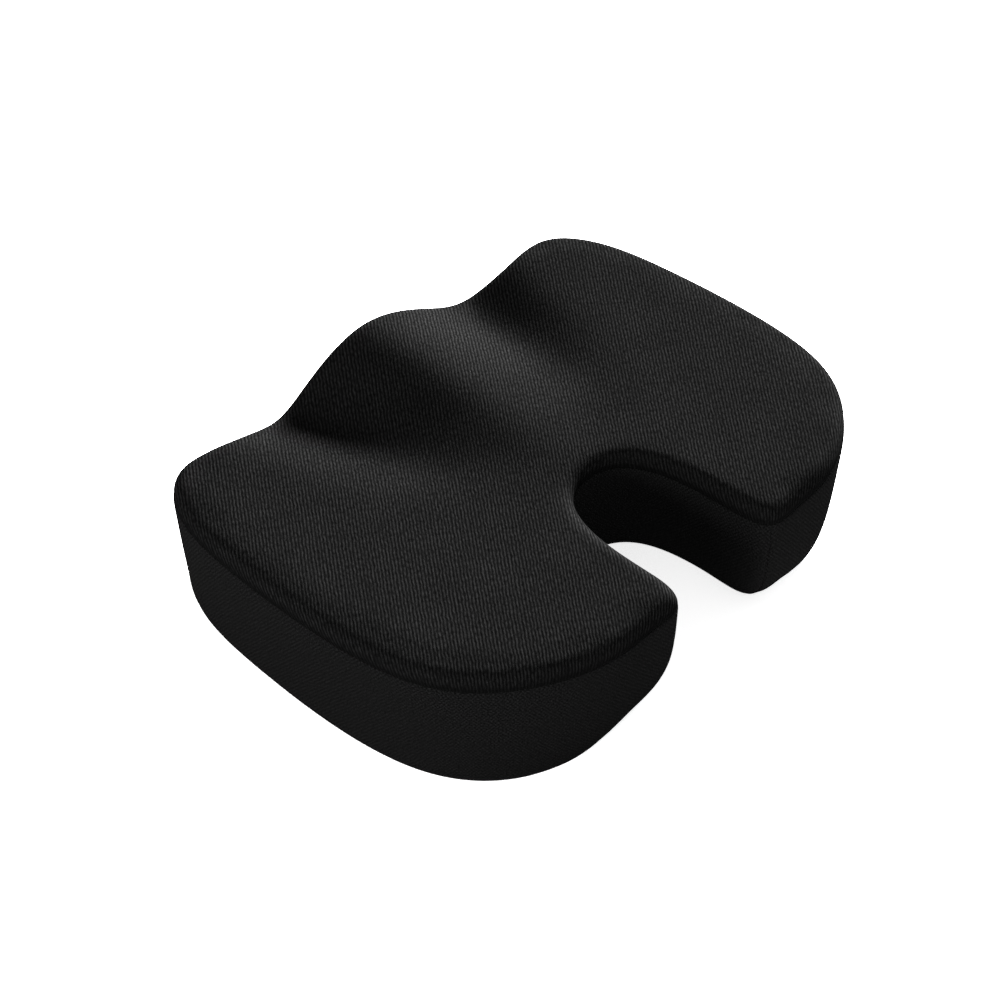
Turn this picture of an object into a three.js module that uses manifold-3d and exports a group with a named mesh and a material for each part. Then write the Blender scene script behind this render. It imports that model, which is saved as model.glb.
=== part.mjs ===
// Contoured seat cushion with a U-shaped cut-out at the rear: a moulded foam core in a thin inner
// liner, inside a sewn, zipped fabric cover. Millimetres, +Z up. The sitter faces -Y and the cut-out
// opens towards +Y. The origin is the centre of the resting plane, under the middle of the cushion.
import * as THREE from 'three';
import { mergeVertices } from 'three/addons/utils/BufferGeometryUtils.js';
import Module from 'manifold-3d';

const wasm = await Module();
wasm.setup();

// ---- Driving dimensions ---------------------------------------------------------------------
// Half outlines as control points of a closed cubic B-spline, from the front centre round the side
// and the rear of the lobe to the closed end of the cut-out. Each is mirrored in X = 0.
const SEAM_OUTLINE = [
  [0, -170], [80, -168], [133, -149], [189, -168], [220, -120], [225, -56], [225, 31], [214, 109],
  [173, 155], [116, 182], [75, 179], [43, 184], [41, 147], [42, 106], [30, 64], [0, 54],
];
const FOOT_OUTLINE = [
  [0, -167], [76, -167], [140, -167], [191, -167], [217, -118], [221, -55], [221, 31], [208, 105],
  [169, 151], [118, 168], [88, 162], [62, 160], [63, 129], [63, 93], [51, 48], [0, 37],
];
const CENTRE_SHIFT_Y = -4.6;      // puts the origin in the middle of the depth

const REAR_HEIGHT = 111;          // top of the flat rear lobes
const FRONT_DROP = 4.5;           // fall of the seat surface from the rear to the front edge
const POMMEL_RISE = 13.5;         // ridge between the thighs, above that surface, at the front edge
const POMMEL_HALF_WIDTH = 46;
const POMMEL_SHAPE = 2.0;         // exponent of the ridge's bell profile
const POMMEL_REACH_Y = 85;        // where the ridge fades out towards the rear
const TROUGH_DEPTH = 15;          // thigh hollows, at the front edge
const TROUGH_X = 94;
const TROUGH_HALF_WIDTH = 38;
const TROUGH_REACH_Y = 30;
const NARROWING = 0.6;            // width of the ridge and hollows at the cut-out, as a share of the front's
const NARROWING_END_Y = 60;

const TOP_EDGE_RADIUS = 10;
const FOOT_EDGE_RADIUS = 6;
const COVER_THICKNESS = 1.4;
const LINER_DEPTH = 3.6;          // outer face of the liner, measured in from the cover's outer face
const LINER_THICKNESS = 0.8;
const FOAM_DEPTH = 4.7;
const GAP = 0.3;                  // clearance between pieces that touch

const FRONT_SPLIT = 2.9;          // outline parameters of the upright seams between the side bands
const MOUTH_SPLIT = 10.9;
const FRONT_UPRIGHT_FALL = 0.6;   // share of the front wall's height above its upright, flat strip
const TIP_POINTS = [9, 12];       // control points of the rear tip, whose wall turns in only near the foot
const TIP_TURN_POWER = 4;
const LINER_SPLIT = 0.5;          // share of the wall height covered by the liner's upper half

const ZIP_HEIGHT = 28;            // centre line of the zip above the resting plane
const ZIP_HALF_LENGTH = 150;
const ZIP_OPENING = 9;            // between the folded edges of the two front bands
const TAPE_WIDTH = 12;
const TAPE_THICKNESS = 0.6;
const COIL_WIDTH = 2.2;
const COIL_THICKNESS = 1.6;
const COIL_CLEARANCE = 1.2;       // between the two coils, where the slider's wedge passes
const SLIDER_LENGTH = 11;
const SLIDER_WIDTH = 7.6;
const SLIDER_PLATE = 1.2;
const SLIDER_REST_X = 143;        // closed end of its travel
const PULL_LENGTH = 22;
const PULL_WIDTH = 7;
const PULL_THICKNESS = 1.1;

const LABEL_SPAN = [24.2, 24.5];  // outline parameters of its two long edges
const LABEL_DROP = 28;

const SAMPLES_OUTSIDE = 3;        // facets for each span of the outer outline
const SAMPLES_CUTOUT = 6;         // and for each span round the cut-out
const SEAT_STEPS = 7;             // facets across the seat surface
const ROUND_STEPS = 2;            // facets of each rounded edge

// ---- Materials ------------------------------------------------------------------------------
const FABRIC = { color: 0x171718, roughness: 0.9, metalness: 0 };
const KNIT = { color: 0x121213, roughness: 0.95, metalness: 0 };
const GRIP = { color: 0x1b1b1c, roughness: 0.8, metalness: 0 };
const LINER = { color: 0xe6e4df, roughness: 0.9, metalness: 0 };
const FOAM = { color: 0xf1e9c9, roughness: 0.95, metalness: 0 };
const TAPE = { color: 0x141415, roughness: 0.85, metalness: 0 };
const NYLON = { color: 0x101011, roughness: 0.45, metalness: 0 };
const METAL = { color: 0x26272a, roughness: 0.4, metalness: 0.8 };
const LABEL = { color: 0xf2f2ef, roughness: 0.7, metalness: 0 };

// ---- Outline --------------------------------------------------------------------------------
const SPANS = 2 * (SEAM_OUTLINE.length - 1);
const TIP = 10;                   // outline parameter at the rear tip of the +X lobe
const APEX = SPANS / 2;           // and at the closed end of the cut-out

const clamp01 = (value) => Math.min(1, Math.max(0, value));
const lerp = (a, b, share) => a + (b - a) * share;

function mirrored(half) {
  const left = half.slice(1, -1).reverse().map(([x, y]) => [-x, y]);
  return [...half, ...left];
}

// Outward mitre directions at the corners of a closed, counter-clockwise control polygon.
function mitres(loop) {
  return loop.map((point, i) => {
    const before = loop[(i + loop.length - 1) % loop.length];
    const after = loop[(i + 1) % loop.length];
    const sides = [[before, point], [point, after]].map(([from, to]) => {
      const length = Math.hypot(to[0] - from[0], to[1] - from[1]);
      return [(to[1] - from[1]) / length, (from[0] - to[0]) / length];
    });
    const sum = [sides[0][0] + sides[1][0], sides[0][1] + sides[1][1]];
    const length = Math.hypot(...sum);
    const unit = [sum[0] / length, sum[1] / length];
    const cosine = Math.max(0.7, unit[0] * sides[0][0] + unit[1] * sides[0][1]);
    return [unit[0] / cosine, unit[1] / cosine];
  });
}

const seamLoop = mirrored(SEAM_OUTLINE);
const footLoop = mirrored(FOOT_OUTLINE);
const seamMitres = mitres(seamLoop);
const footMitres = mitres(footLoop);

// How far a control point has moved from the seam outline to the foot outline: early at the front,
// which is flat and upright near the zip, and late at the rear tips.
function blendShare(index, fall) {
  const fromFront = Math.min(index, SPANS - index);
  if (fromFront <= 3) return 1 - (1 - clamp01(fall / FRONT_UPRIGHT_FALL)) ** 2;
  const atTip = fromFront >= TIP_POINTS[0] && fromFront <= TIP_POINTS[1];
  return atTip ? fall ** TIP_TURN_POWER : fall;
}

// Point of the wall at outline parameter t: fall is 0 at the top seam and 1 at the foot.
function outlinePoint(t, fall, inset) {
  const span = Math.floor(t);
  const u = t - span;
  const weights = [
    (1 - u) ** 3 / 6,
    (3 * u ** 3 - 6 * u ** 2 + 4) / 6,
    (-3 * u ** 3 + 3 * u ** 2 + 3 * u + 1) / 6,
    u ** 3 / 6,
  ];
  let x = 0;
  let y = CENTRE_SHIFT_Y;
  weights.forEach((weight, k) => {
    const i = (span + k - 1 + 2 * SPANS) % SPANS;
    const share = blendShare(i, fall);
    const corner = [0, 1].map((axis) => (
      lerp(seamLoop[i][axis], footLoop[i][axis], share)
      - inset * lerp(seamMitres[i][axis], footMitres[i][axis], share)
    ));
    x += weight * corner[0];
    y += weight * corner[1];
  });
  return [x, y];
}

// Outline parameters of the facet corners, counter-clockwise from the front centre.
function ringStations() {
  const right = [];
  for (let k = 0; k < TIP * SAMPLES_OUTSIDE; k += 1) right.push(k / SAMPLES_OUTSIDE);
  for (let k = 0; k <= (APEX - TIP) * SAMPLES_CUTOUT; k += 1) right.push(TIP + k / SAMPLES_CUTOUT);
  const left = right.slice(1, -1).reverse().map((t) => SPANS - t);
  return [...right, ...left];
}

const STATIONS = ringStations();
const FRONT_Y = Math.min(...FOOT_OUTLINE.map(([, y]) => y)) + CENTRE_SHIFT_Y;
const SEAM_FRONT_Y = Math.min(...SEAM_OUTLINE.map(([, y]) => y)) + CENTRE_SHIFT_Y;
const SEAM_REAR_Y = Math.max(...SEAM_OUTLINE.map(([, y]) => y)) + CENTRE_SHIFT_Y;

// ---- Seat surface ---------------------------------------------------------------------------
function smoothFade(y, start) {
  const share = clamp01((start - y) / (start - SEAM_FRONT_Y));
  return share * share * (3 - 2 * share);
}

function narrowing(y) {
  const end = NARROWING_END_Y + CENTRE_SHIFT_Y;
  return 1 - (1 - NARROWING) * clamp01((y - SEAM_FRONT_Y) / (end - SEAM_FRONT_Y));
}

function seatHeight(x, y) {
  const forward = clamp01((SEAM_REAR_Y - y) / (SEAM_REAR_Y - SEAM_FRONT_Y));
  const across = Math.abs(x) / narrowing(y);
  const pommel = Math.exp(-((across / POMMEL_HALF_WIDTH) ** POMMEL_SHAPE));
  const trough = Math.exp(-(((across - TROUGH_X) / TROUGH_HALF_WIDTH) ** 2));
  return REAR_HEIGHT - FRONT_DROP * forward
    + POMMEL_RISE * pommel * smoothFade(y, POMMEL_REACH_Y + CENTRE_SHIFT_Y)
    - TROUGH_DEPTH * trough * smoothFade(y, TROUGH_REACH_Y + CENTRE_SHIFT_Y);
}

function borderHeight(t) {
  const [x, y] = outlinePoint(t, 0, TOP_EDGE_RADIUS);
  return seatHeight(x, y);
}

// ---- Surfaces at a depth below the cover's outer face -----------------------------------------
function topRing(depth, turn) {
  const radius = TOP_EDGE_RADIUS - depth;
  return STATIONS.map((t) => {
    const [x, y] = outlinePoint(t, 0, TOP_EDGE_RADIUS - radius * Math.sin(turn));
    return [x, y, borderHeight(t) - TOP_EDGE_RADIUS + radius * Math.cos(turn)];
  });
}

function footRing(depth, turn) {
  const radius = FOOT_EDGE_RADIUS - depth;
  return STATIONS.map((t) => {
    const [x, y] = outlinePoint(t, 1, FOOT_EDGE_RADIUS - radius * Math.cos(turn));
    return [x, y, FOOT_EDGE_RADIUS - radius * Math.sin(turn)];
  });
}

function seamHeight(t) {
  return borderHeight(t) - TOP_EDGE_RADIUS;
}

function wallPoint(t, z, depth) {
  const fall = clamp01((seamHeight(t) - z) / (seamHeight(t) - FOOT_EDGE_RADIUS));
  return [...outlinePoint(t, fall, depth), z];
}

function wallRing(depth, share, lift = 0) {
  return STATIONS.map((t) => wallPoint(t, lerp(seamHeight(t), FOOT_EDGE_RADIUS, share) + lift, depth));
}

const turns = (steps) => Array.from({ length: steps + 1 }, (_, k) => (k / steps) * (Math.PI / 2));

const topRings = (depth) => turns(ROUND_STEPS).map((turn) => topRing(depth, turn));
const footRings = (depth) => turns(ROUND_STEPS).map((turn) => footRing(depth, turn));

// ---- Closed solids ----------------------------------------------------------------------------
function geometryFrom(corners) {
  const soup = new THREE.BufferGeometry();
  soup.setAttribute('position', new THREE.Float32BufferAttribute(corners.flat(), 3));
  const geometry = mergeVertices(soup, 1e-4);
  geometry.computeVertexNormals();
  return geometry;
}

function pushTriangle(corners, a, b, c) {
  const apart = (p, q) => Math.hypot(p[0] - q[0], p[1] - q[1], p[2] - q[2]) > 1e-3;
  if (apart(a, b) && apart(b, c) && apart(c, a)) corners.push(a, b, c);
}

// Facets between rows of points. Rows that go outward, or down an outer wall, and run
// counter-clockwise give outward faces. Neighbouring surfaces share the direction of their
// diagonals, so that they stay parallel, and rising rows therefore take the other one.
function pushRows(corners, rows, closed, takesOtherDiagonal) {
  for (let r = 0; r + 1 < rows.length; r += 1) {
    const count = rows[r].length;
    for (let c = 0; c < (closed ? count : count - 1); c += 1) {
      const next = (c + 1) % count;
      const [a, b, d, e] = [rows[r][c], rows[r + 1][c], rows[r + 1][next], rows[r][next]];
      const split = takesOtherDiagonal(r) ? [[a, b, e], [b, d, e]] : [[a, b, d], [a, d, e]];
      split.forEach((triangle) => pushTriangle(corners, ...triangle));
    }
  }
}

const rising = (rows) => (r) => rows[r + 1][0][2] > rows[r][0][2] + 1e-6;

// Facets inside a ring: strips from each point of the outer outline to its partner in the cut-out.
function pushCap(corners, ring, cap, up) {
  const at = (t) => ring[STATIONS.findIndex((station) => Math.abs(station - t) < 1e-6)];
  const strips = [];
  for (let k = -TIP * SAMPLES_OUTSIDE; k <= TIP * SAMPLES_OUTSIDE; k += 1) {
    const outer = at((k / SAMPLES_OUTSIDE + SPANS) % SPANS);
    const inner = at(APEX - k / SAMPLES_CUTOUT);
    const strip = Array.from({ length: cap.steps + 1 }, (_, m) => {
      const x = lerp(outer[0], inner[0], m / cap.steps);
      const y = lerp(outer[1], inner[1], m / cap.steps);
      return [x, y, cap.heightAt(x, y)];
    });
    strip[0] = outer;
    strip[cap.steps] = inner;
    strips.push(outer === inner ? strip.fill(outer) : strip);
  }
  pushRows(corners, up ? strips : strips.map((strip) => [...strip].reverse()), false, () => !up);
}

const flatCap = (height) => ({ steps: 1, heightAt: () => height });
const seatCap = (depth) => ({ steps: SEAT_STEPS, heightAt: (x, y) => seatHeight(x, y) - depth });

// Solid through a list of rings, closed by a cap facing up on the first and down on the last.
function loftSolid(rings, firstCap, lastCap) {
  const corners = [];
  pushCap(corners, rings[0], firstCap, true);
  pushRows(corners, rings, true, rising(rings));
  pushCap(corners, rings[rings.length - 1], lastCap, false);
  return geometryFrom(corners);
}

// Upright band along the wall between two outline parameters and two heights.
function bandSolid(from, to, topAt, bottomAt, levels, depth, thickness) {
  const inside = [...STATIONS.map((t) => t - SPANS), ...STATIONS].filter((t) => t > from && t < to);
  const stations = [from, ...inside, to];
  const wrapped = stations.map((t) => (t + SPANS) % SPANS);
  const rowAt = (level, inset) => wrapped.map((t) => (
    wallPoint(t, lerp(topAt(t), bottomAt(t), level / levels), inset)
  ));
  const outer = [];
  const inner = [];
  for (let level = 0; level <= levels; level += 1) {
    outer.push(rowAt(level, depth));
    inner.push(rowAt(level, depth + thickness));
  }
  const corners = [];
  const loop = [...outer, ...[...inner].reverse(), outer[0]];
  pushRows(corners, loop, false, rising(loop));
  const last = stations.length - 1;
  for (let level = 0; level < levels; level += 1) {
    const end = (c) => [outer[level][c], outer[level + 1][c], inner[level + 1][c], inner[level][c]];
    const [a, b, c, d] = end(last);
    pushTriangle(corners, a, b, c);
    pushTriangle(corners, a, c, d);
    const [e, f, g, h] = end(0);
    pushTriangle(corners, g, f, e);
    pushTriangle(corners, h, g, e);
  }
  return geometryFrom(corners);
}

// ---- Booleans for the small hard pieces -------------------------------------------------------
function toManifold(geometry) {
  const bare = geometry.clone();
  bare.deleteAttribute('normal');
  bare.deleteAttribute('uv');
  const merged = mergeVertices(bare, 1e-5);
  return new wasm.Manifold(new wasm.Mesh({
    numProp: 3,
    vertProperties: merged.attributes.position.array,
    triVerts: merged.index.array,
  }));
}

function fromManifold(solid) {
  const { vertProperties, triVerts } = solid.getMesh();
  const geometry = new THREE.BufferGeometry();
  geometry.setAttribute('position', new THREE.BufferAttribute(vertProperties, 3));
  geometry.setIndex(new THREE.BufferAttribute(triVerts, 1));
  geometry.computeVertexNormals();
  return geometry;
}

function block([x0, x1], [y0, y1], [z0, z1]) {
  const geometry = new THREE.BoxGeometry(x1 - x0, y1 - y0, z1 - z0);
  return geometry.translate((x0 + x1) / 2, (y0 + y1) / 2, (z0 + z1) / 2);
}

const joined = (geometries) => fromManifold(geometries.map(toManifold).reduce((a, b) => a.add(b)));

// ---- Assembly -----------------------------------------------------------------------------------
const cushion = new THREE.Group();

function addPiece(parent, name, geometry, look, position = [0, 0, 0]) {
  const mesh = new THREE.Mesh(geometry, new THREE.MeshStandardMaterial(look));
  mesh.name = name;
  mesh.position.set(...position);
  parent.add(mesh);
  return mesh;
}

// Foam core: one moulded block, inside everything else.
addPiece(cushion, 'foam_core', loftSolid(
  [...topRings(FOAM_DEPTH), wallRing(FOAM_DEPTH, LINER_SPLIT), ...footRings(FOAM_DEPTH)],
  seatCap(FOAM_DEPTH),
  flatCap(FOAM_DEPTH),
), FOAM);

// Liner: a sewn sock in two halves that meet half way up the wall.
const linerInside = LINER_DEPTH + LINER_THICKNESS;
addPiece(cushion, 'liner_top', loftSolid(
  [
    ...topRings(LINER_DEPTH),
    wallRing(LINER_DEPTH, LINER_SPLIT, GAP / 2),
    wallRing(linerInside, LINER_SPLIT, GAP / 2),
    ...topRings(linerInside).reverse(),
  ],
  seatCap(LINER_DEPTH),
  seatCap(linerInside),
), LINER);
addPiece(cushion, 'liner_bottom', loftSolid(
  [
    ...footRings(linerInside).reverse(),
    wallRing(linerInside, LINER_SPLIT, -GAP / 2),
    wallRing(LINER_DEPTH, LINER_SPLIT, -GAP / 2),
    ...footRings(LINER_DEPTH),
  ],
  flatCap(linerInside),
  flatCap(LINER_DEPTH),
), LINER);

// Cover: top panel down to the seam below the rounded edge, and bottom panel up to the foot seam.
addPiece(cushion, 'top_panel', loftSolid(
  [...topRings(0), ...topRings(COVER_THICKNESS).reverse()],
  seatCap(0),
  seatCap(COVER_THICKNESS),
), FABRIC);
addPiece(cushion, 'bottom_panel', loftSolid(
  [...footRings(COVER_THICKNESS).reverse(), ...footRings(0)],
  flatCap(COVER_THICKNESS),
  flatCap(0),
), GRIP);

// Side bands, between the top seam and the foot seam.
const bandTop = (t) => seamHeight(t) - GAP;
const bandBottom = () => FOOT_EDGE_RADIUS + GAP;
const SEAM_GAP = 0.004;           // half of an upright seam's clearance, as an outline parameter
const sideBand = (from, to) => (
  bandSolid(from + SEAM_GAP, to - SEAM_GAP, bandTop, bandBottom, 2, 0, COVER_THICKNESS)
);
addPiece(cushion, 'side_band_left', sideBand(FRONT_SPLIT, MOUTH_SPLIT), KNIT);
addPiece(cushion, 'side_band_right', sideBand(SPANS - MOUTH_SPLIT, SPANS - FRONT_SPLIT), KNIT);
addPiece(cushion, 'cutout_band', sideBand(MOUTH_SPLIT, SPANS - MOUTH_SPLIT), KNIT);

// Front bands, above and below the zip.
const frontBand = (topAt, bottomAt, levels) => bandSolid(
  -FRONT_SPLIT + SEAM_GAP, FRONT_SPLIT - SEAM_GAP, topAt, bottomAt, levels, 0, COVER_THICKNESS,
);
const upperEdge = () => ZIP_HEIGHT + ZIP_OPENING / 2;
const lowerEdge = () => ZIP_HEIGHT - ZIP_OPENING / 2;
addPiece(cushion, 'front_band_upper', frontBand(bandTop, upperEdge, 4), KNIT);
addPiece(cushion, 'front_band_lower', frontBand(lowerEdge, bandBottom, 1), KNIT);

// Zip: tapes behind the band edges, coils in the opening, a stop at each end.
const tapeY = FRONT_Y + COVER_THICKNESS + GAP;
const coilY = tapeY - GAP - COIL_THICKNESS;
const halfClear = COIL_CLEARANCE / 2;
for (const [name, side] of [['upper', 1], ['lower', -1]]) {
  const tapeHeights = [halfClear, halfClear + TAPE_WIDTH].map((z) => ZIP_HEIGHT + side * z).sort((a, b) => a - b);
  const coilHeights = [halfClear, halfClear + COIL_WIDTH].map((z) => ZIP_HEIGHT + side * z).sort((a, b) => a - b);
  addPiece(cushion, `zip_tape_${name}`, block(
    [-ZIP_HALF_LENGTH, ZIP_HALF_LENGTH],
    [tapeY, tapeY + TAPE_THICKNESS],
    tapeHeights,
  ), TAPE);
  addPiece(cushion, `zip_coil_${name}`, block(
    [-ZIP_HALF_LENGTH + 4, ZIP_HALF_LENGTH - 4],
    [coilY, coilY + COIL_THICKNESS],
    coilHeights,
  ), NYLON);
}
for (const [name, side] of [['left', 1], ['right', -1]]) {
  const ends = [ZIP_HALF_LENGTH - 3.5, ZIP_HALF_LENGTH - 1].map((x) => side * x).sort((a, b) => a - b);
  const halfHeight = halfClear + COIL_WIDTH;
  addPiece(cushion, `zip_stop_${name}`, block(
    ends,
    [coilY - 0.2, coilY + COIL_THICKNESS],
    [ZIP_HEIGHT - halfHeight, ZIP_HEIGHT + halfHeight],
  ), METAL);
}

// Slider: two plates joined by a wedge between the coils, with a crown bar that holds the pull.
const slider = new THREE.Group();
slider.position.set(SLIDER_REST_X, 0, ZIP_HEIGHT);
cushion.add(slider);

const plateInnerY = coilY - GAP;
const plateOuterY = plateInnerY - SLIDER_PLATE;
const backPlateY = tapeY + TAPE_THICKNESS + GAP;
const BACK_PLATE = 0.6;
const WEDGE_THICKNESS = 0.6;
const CROWN_HALF_LENGTH = 3.6;
const CROWN_POST = 0.8;
const CROWN_BAR = 1;
const PIN_DIAMETER = 1.2;
const pinY = plateOuterY - GAP - PIN_DIAMETER / 2;
const crownInnerY = pinY - PIN_DIAMETER / 2 - GAP;
const halfSlider = SLIDER_LENGTH / 2;
const crownHeights = [-0.6, 0.6];
addPiece(slider, 'zip_slider', joined([
  block([-halfSlider, halfSlider], [plateOuterY, plateInnerY], [-SLIDER_WIDTH / 2, SLIDER_WIDTH / 2]),
  block([-halfSlider, halfSlider], [backPlateY, backPlateY + BACK_PLATE], [-3, 3]),
  block([-2, 2], [plateInnerY - 0.2, backPlateY + 0.2], [-WEDGE_THICKNESS / 2, WEDGE_THICKNESS / 2]),
  block([-CROWN_HALF_LENGTH, -CROWN_HALF_LENGTH + CROWN_POST], [crownInnerY - 0.2, plateOuterY + 0.2],
    crownHeights),
  block([CROWN_HALF_LENGTH - CROWN_POST, CROWN_HALF_LENGTH], [crownInnerY - 0.2, plateOuterY + 0.2],
    crownHeights),
  block([-CROWN_HALF_LENGTH, CROWN_HALF_LENGTH], [crownInnerY - CROWN_BAR, crownInnerY], crownHeights),
]), METAL);

// Pull: a pin under the crown bar, two arms and a tab with a finger hole.
const pull = new THREE.Group();
pull.position.set(0, pinY, 0);
slider.add(pull);

const ARM_INSIDE = 1.6;
const ARM_OUTSIDE = PULL_WIDTH / 2;
const TAB_START = 4.4;
const halfThick = PULL_THICKNESS / 2;
const pin = new THREE.CylinderGeometry(PIN_DIAMETER / 2, PIN_DIAMETER / 2, 2 * ARM_OUTSIDE - 0.6, 12);
pin.rotateX(Math.PI / 2);
const tabHole = new THREE.CylinderGeometry(1.6, 1.6, 4, 20);
tabHole.translate(-PULL_LENGTH + 3.6, 0, 0);
const tab = toManifold(joined([
  pin,
  block([-TAB_START - 0.5, 0], [-halfThick, halfThick], [ARM_INSIDE, ARM_OUTSIDE]),
  block([-TAB_START - 0.5, 0], [-halfThick, halfThick], [-ARM_OUTSIDE, -ARM_INSIDE]),
  block([-PULL_LENGTH, -TAB_START], [-halfThick, halfThick], [-ARM_OUTSIDE, ARM_OUTSIDE]),
]));
addPiece(pull, 'zip_pull', fromManifold(tab.subtract(toManifold(tabHole))), METAL);

// Care label: a blank tab of woven tape against the right side band, sewn in at the foot seam.
const LABEL_THICKNESS = 0.8;
addPiece(cushion, 'care_label', bandSolid(
  LABEL_SPAN[0],
  LABEL_SPAN[1],
  () => FOOT_EDGE_RADIUS + LABEL_DROP,
  () => FOOT_EDGE_RADIUS + GAP,
  1,
  -GAP - LABEL_THICKNESS,
  LABEL_THICKNESS,
), LABEL);

export default cushion;
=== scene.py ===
import math

import bmesh
import bpy
import numpy as np
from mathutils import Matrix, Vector
from mathutils.bvhtree import BVHTree
from mathutils.geometry import delaunay_2d_cdt


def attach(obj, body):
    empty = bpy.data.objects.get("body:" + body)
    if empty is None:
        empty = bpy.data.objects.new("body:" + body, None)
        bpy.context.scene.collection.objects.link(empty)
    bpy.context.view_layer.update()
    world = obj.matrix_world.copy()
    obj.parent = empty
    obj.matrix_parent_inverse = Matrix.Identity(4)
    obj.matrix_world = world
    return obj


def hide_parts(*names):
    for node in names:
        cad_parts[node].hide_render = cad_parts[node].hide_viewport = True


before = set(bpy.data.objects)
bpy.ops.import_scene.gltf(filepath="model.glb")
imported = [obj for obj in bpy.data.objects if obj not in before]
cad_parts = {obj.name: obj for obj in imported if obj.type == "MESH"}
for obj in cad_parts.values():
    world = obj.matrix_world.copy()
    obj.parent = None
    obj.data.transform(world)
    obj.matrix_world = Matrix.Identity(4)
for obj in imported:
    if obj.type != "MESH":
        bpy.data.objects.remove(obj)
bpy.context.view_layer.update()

MM = 0.001
BODY = "cushion"

# ---- Driving dimensions in millimetres, the same as the CAD part's ----
SEAM_OUTLINE = [
    (0, -170), (80, -168), (133, -149), (189, -168), (220, -120), (225, -56), (225, 31), (214, 109),
    (173, 155), (116, 182), (75, 179), (43, 184), (41, 147), (42, 106), (30, 64), (0, 54),
]
FOOT_OUTLINE = [
    (0, -167), (76, -167), (140, -167), (191, -167), (217, -118), (221, -55), (221, 31), (208, 105),
    (169, 151), (118, 168), (88, 162), (62, 160), (63, 129), (63, 93), (51, 48), (0, 37),
]
CENTRE_SHIFT_Y = -4.6
REAR_HEIGHT = 111
FRONT_DROP = 4.5
POMMEL_RISE = 13.5
POMMEL_HALF_WIDTH = 46
POMMEL_SHAPE = 2.0
POMMEL_REACH_Y = 85
TROUGH_DEPTH = 15
TROUGH_X = 94
TROUGH_HALF_WIDTH = 38
TROUGH_REACH_Y = 30
NARROWING = 0.6
NARROWING_END_Y = 60
TOP_EDGE_RADIUS = 10
FOOT_EDGE_RADIUS = 6
FRONT_UPRIGHT_FALL = 0.6
FRONT_POINTS = 3  # the last control point of the front, counted from its middle
TIP_POINTS = (9, 12)  # the control points round a rear tip
TIP_TURN_POWER = 4
LINER_DEPTH = 3.6
FOAM_DEPTH = 4.7
FRONT_SPLIT = 2.9
MOUTH_SPLIT = 10.9
ZIP_HEIGHT = 28
ZIP_OPENING = 9
COVER_THICKNESS = 1.4
GAP = 0.3
TAPE_WIDTH = 12
TAPE_THICKNESS = 0.6
COIL_WIDTH = 2.2
COIL_THICKNESS = 1.6
COIL_CLEARANCE = 1.2
COIL_HALF_LENGTH = 146
SLIDER_LENGTH = 11
SLIDER_WIDTH = 7.6
SLIDER_PLATE = 1.2
SLIDER_REST_X = 143
PULL_LENGTH = 22
PULL_WIDTH = 7
PULL_THICKNESS = 1.1
LABEL_SPAN = (24.2, 24.5)
LABEL_DROP = 28
LEAST_MITRE_COSINE = 0.7  # keeps the mitre of a sharp corner short

# ---- Fineness and fabric detail; lengths are in millimetres ----
PANEL_STEP = 5.0  # between mesh points, before subdivision
SEAM_LAND = 1.8  # from a seam to the next row of mesh points
ROUND_STEPS = 5  # rows of faces over a rounded edge
RUN_SAMPLES = 2000  # along the outline between two upright seams
PATH_SAMPLES = 3000  # round the whole outline
GRID_CLEARANCE = 0.55  # from a ring to the grid inside it, as a share of the grid's step
JOIN_FLATNESS = 20  # degrees, between two triangles that make one square
JOIN_SQUARENESS = 50  # degrees that the square's corners may be off
FABRIC_THICKNESS = 1.2
LINER_FABRIC = 0.6
SEAM_SINK = 0.9  # how far a seam is drawn in
PUFF = 0.8  # the most that the stuffed cover swells between its seams
OPENING_HALF_LENGTH = 151
SMOOTHING_ROUNDS = 8  # of the simulated movement
DOT_HEIGHT = 0.6
DOT_RADIUS = 1.3
DOT_PITCH = 9.0
DOT_MARGIN = 2.0  # from the start of the rounded foot edge

SPANS = 2 * (len(SEAM_OUTLINE) - 1)


# ---- Outline and seat surface ----
def mirrored(half):
    left = [(-x, y) for x, y in half[1:-1]][::-1]
    return np.array(half + left, float)


def mitres(loop):
    """Outward mitre directions at the corners of a closed, counter-clockwise control polygon."""
    before = loop - np.roll(loop, 1, 0)
    after = np.roll(loop, -1, 0) - loop
    sides = [
        np.column_stack([side[:, 1], -side[:, 0]]) / np.linalg.norm(side, axis=1)[:, None]
        for side in (before, after)
    ]
    unit = sides[0] + sides[1]
    unit /= np.linalg.norm(unit, axis=1)[:, None]
    cosine = np.maximum(LEAST_MITRE_COSINE, (unit * sides[0]).sum(1))
    return unit / cosine[:, None]


SEAM_LOOP, FOOT_LOOP = mirrored(SEAM_OUTLINE), mirrored(FOOT_OUTLINE)
SEAM_MITRES, FOOT_MITRES = mitres(SEAM_LOOP), mitres(FOOT_LOOP)


def blend_share(from_front, fall):
    """How far control points have moved to the foot outline: early in front, late at the rear tips."""
    early = 1 - (1 - np.clip(fall / FRONT_UPRIGHT_FALL, 0, 1)) ** 2
    late = fall ** TIP_TURN_POWER
    at_tip = (from_front >= TIP_POINTS[0]) & (from_front <= TIP_POINTS[1])
    return np.where(from_front <= FRONT_POINTS, early, np.where(at_tip, late, fall))


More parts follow.
